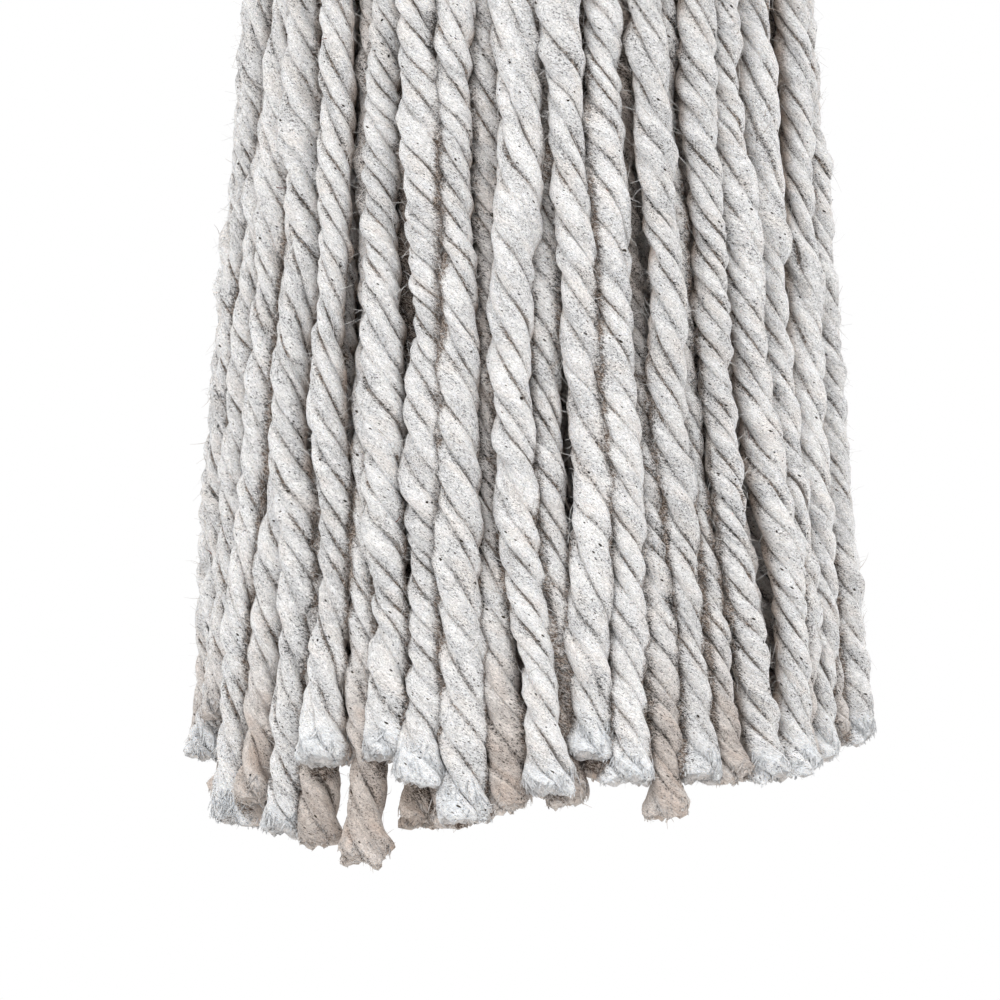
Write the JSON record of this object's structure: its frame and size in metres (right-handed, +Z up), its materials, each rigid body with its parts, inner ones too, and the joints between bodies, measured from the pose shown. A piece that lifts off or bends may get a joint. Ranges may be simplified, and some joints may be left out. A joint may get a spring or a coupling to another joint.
{
  "type": "string mop",
  "caption": "Cotton string mop: thick twisted yarns clamped in a steel bell, on a wooden handle that screws into it, hanging from a wire bail.",
  "frame": {"origin": "top of the inside of the wire bail, where the mop rests on a hook", "axes": "+Z up along the handle towards the bail, -Y towards the front, +X to the right seen from the front"},
  "size_m": [0.1178, 0.1184, 1.502],
  "materials": {
    "bail_wire": "polished",
    "moulded_plastic": "satin",
    "handle_wood": "satin",
    "washer_rubber": "matte",
    "zinc_plated_steel": "satin",
    "fastener_steel": "satin",
    "cotton_yarn": "matte"
  },
  "bodies": {
    "hanger": {"hanger_bail": "bail_wire"},
    "handle": {"hanger_cap": "moulded_plastic", "handle_shaft": "handle_wood", "threaded_tip": "moulded_plastic", "tip_rivet": "fastener_steel"},
    "washer": {"joint_washer": "washer_rubber"},
    "head": {"screw_socket": "zinc_plated_steel", "bell_skirt": "zinc_plated_steel", "centre_bolt": "fastener_steel", "clamp_plate": "zinc_plated_steel", "plain_washer": "fastener_steel", "hex_nut": "fastener_steel", "yarn_fold": "cotton_yarn", "core_yarns": "cotton_yarn"},
    "lock_1": {"inner_yarns_1": "cotton_yarn", "yarn_01": "cotton_yarn", "yarn_02": "cotton_yarn", "yarn_03": "cotton_yarn", "yarn_04": "cotton_yarn", "yarn_05": "cotton_yarn"},
    "lock_2": {"inner_yarns_2": "cotton_yarn", "yarn_06": "cotton_yarn", "yarn_07": "cotton_yarn", "yarn_08": "cotton_yarn", "yarn_09": "cotton_yarn", "yarn_10": "cotton_yarn"},
    "lock_3": {"inner_yarns_3": "cotton_yarn", "yarn_11": "cotton_yarn", "yarn_12": "cotton_yarn", "yarn_13": "cotton_yarn", "yarn_14": "cotton_yarn", "yarn_15": "cotton_yarn"},
    "lock_4": {"inner_yarns_4": "cotton_yarn", "yarn_16": "cotton_yarn", "yarn_17": "cotton_yarn", "yarn_18": "cotton_yarn", "yarn_19": "cotton_yarn", "yarn_20": "cotton_yarn"},
    "lock_5": {"inner_yarns_5": "cotton_yarn", "yarn_21": "cotton_yarn", "yarn_22": "cotton_yarn", "yarn_23": "cotton_yarn", "yarn_24": "cotton_yarn", "yarn_25": "cotton_yarn"},
    "lock_6": {"inner_yarns_6": "cotton_yarn", "yarn_26": "cotton_yarn", "yarn_27": "cotton_yarn", "yarn_28": "cotton_yarn", "yarn_29": "cotton_yarn", "yarn_30": "cotton_yarn"}
  },
  "joints": [
    {"name": "bail_swing", "type": "hinge", "parent": "hanger", "child": "handle", "pos_m": [0, 0, -0.032], "axis": [1, 0, 0], "range_deg": [-120, 120]},
    {"name": "head_travel", "type": "slide", "parent": "handle", "child": "washer", "axis": [0, 0, -1], "range_m": [0, 0.025]},
    {"name": "head_unscrew", "type": "hinge", "parent": "washer", "child": "head", "pos_m": [0, 0, -1.1479], "axis": [0, 0, -1], "range_deg": [0, 1800]},
    {"name": "lock_1_swing", "type": "hinge", "parent": "head", "child": "lock_1", "pos_m": [-0.03204, -0.0185, -1.2219], "axis": [-0.5, 0.866, 0], "range_deg": [0, 50]},
    {"name": "lock_2_swing", "type": "hinge", "parent": "head", "child": "lock_2", "pos_m": [0, -0.037, -1.2219], "axis": [-1, 0, 0], "range_deg": [0, 50]},
    {"name": "lock_3_swing", "type": "hinge", "parent": "head", "child": "lock_3", "pos_m": [0.03204, -0.0185, -1.2219], "axis": [-0.5, -0.866, 0], "range_deg": [0, 50]},
    {"name": "lock_4_swing", "type": "hinge", "parent": "head", "child": "lock_4", "pos_m": [0.03204, 0.0185, -1.2219], "axis": [0.5, -0.866, 0], "range_deg": [0, 50]},
    {"name": "lock_5_swing", "type": "hinge", "parent": "head", "child": "lock_5", "pos_m": [0, 0.037, -1.2219], "axis": [1, 0, 0], "range_deg": [0, 50]},
    {"name": "lock_6_swing", "type": "hinge", "parent": "head", "child": "lock_6", "pos_m": [-0.03204, 0.0185, -1.2219], "axis": [0.5, 0.866, 0], "range_deg": [0, 50]}
  ],
  "couplings": [
    {"joint": "head_travel", "follows": "head_unscrew", "m_per_rad": 0.00079577}
  ]
}
